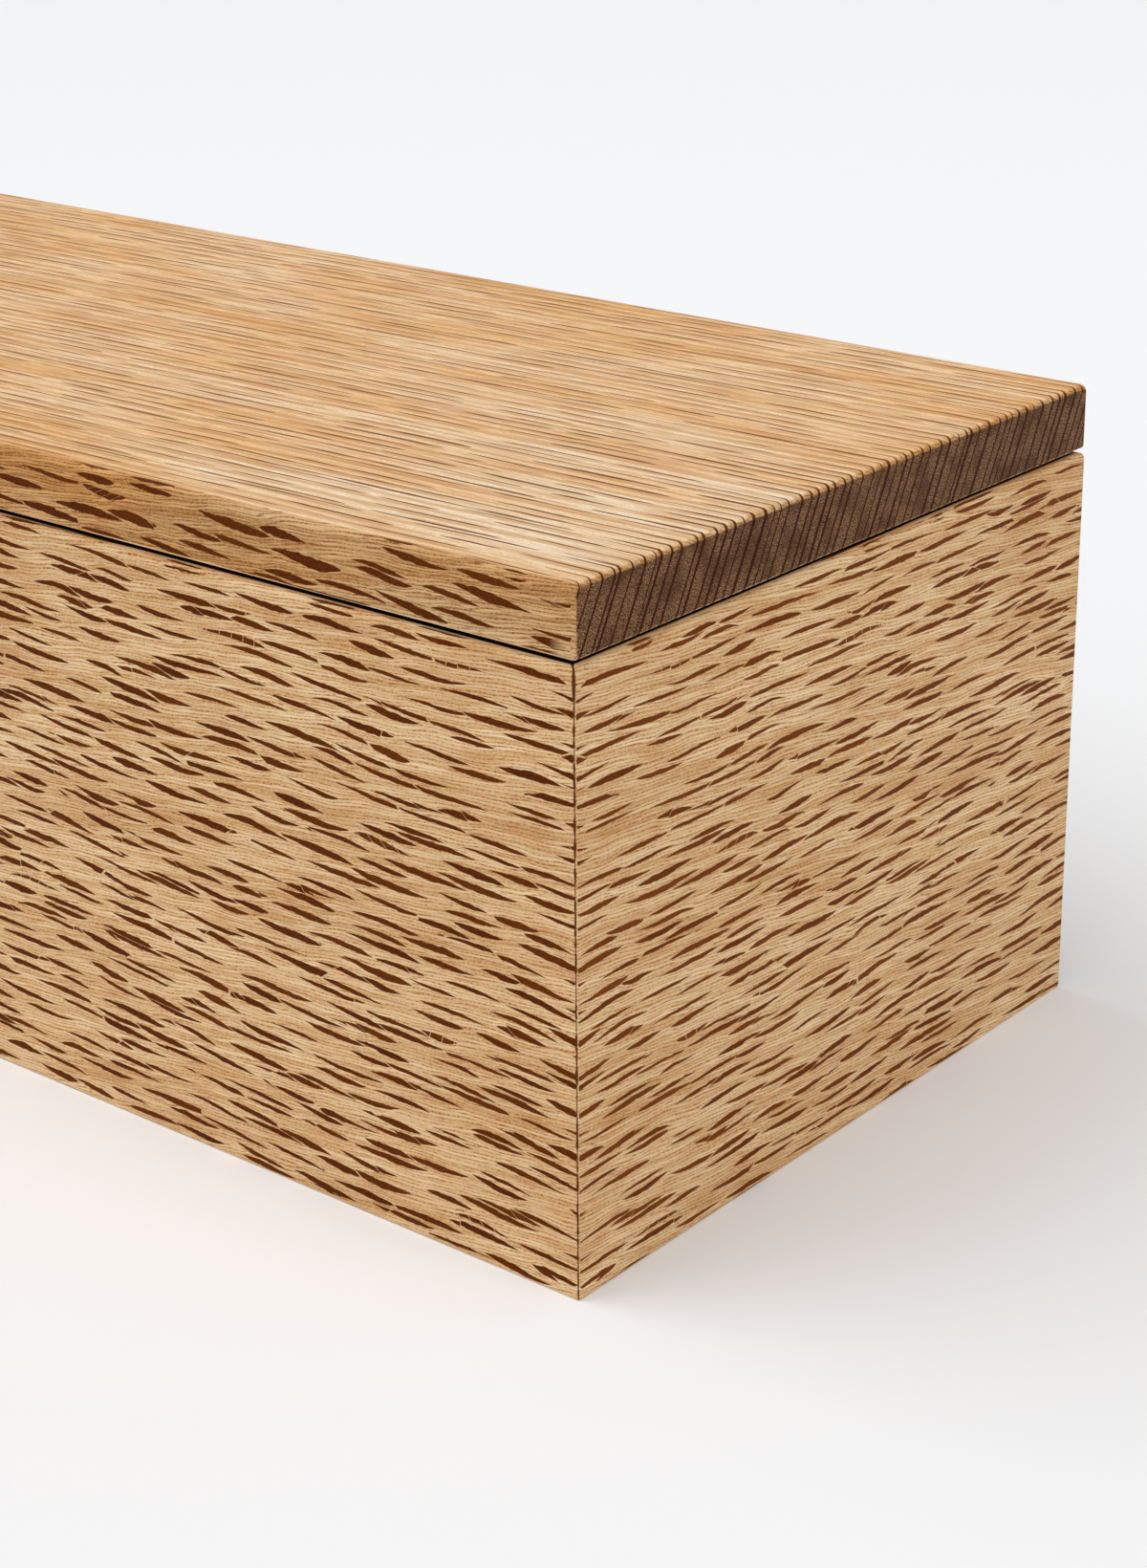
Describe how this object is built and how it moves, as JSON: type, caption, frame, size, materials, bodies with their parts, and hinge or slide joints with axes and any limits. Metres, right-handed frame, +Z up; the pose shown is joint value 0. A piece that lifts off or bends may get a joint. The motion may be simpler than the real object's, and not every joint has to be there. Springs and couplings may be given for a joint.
{
  "type": "sliding lid wooden box",
  "caption": "Rectangular hardwood box with mitred corners, for papers and keepsakes. Its full-size lid board runs in dovetail slots inside the rim and slides off at one end.",
  "frame": {"origin": "middle of the footprint, on the surface that the box stands on", "axes": "+X along the length towards the closed end, +Y across the width, +Z up. The lid slides off towards -X."},
  "size_m": [0.3, 0.124, 0.1008],
  "materials": {
    "wall_wood": "oiled satin",
    "lid_wood": "oiled satin",
    "panel_wood": "oiled satin",
    "batten_wood": "oiled satin",
    "spline_wood": "bare",
    "screw_brass": "satin"
  },
  "bodies": {
    "box": {"front_wall": "wall_wood", "back_wall": "wall_wood", "closed_end_wall": "wall_wood", "open_end_wall": "wall_wood", "bottom_panel": "panel_wood", "mitre_spline_front_closed": "spline_wood", "mitre_spline_back_closed": "spline_wood", "mitre_spline_front_open": "spline_wood", "mitre_spline_back_open": "spline_wood"},
    "lid": {"lid_board": "lid_wood", "lid_batten_closed_end": "batten_wood", "lid_batten_middle": "batten_wood", "lid_batten_open_end": "batten_wood", "lid_screws": "screw_brass"}
  },
  "joints": [
    {"name": "lid_slide", "type": "slide", "parent": "box", "child": "lid", "axis": [-1, 0, 0], "range_m": [0, 0.291]}
  ]
}
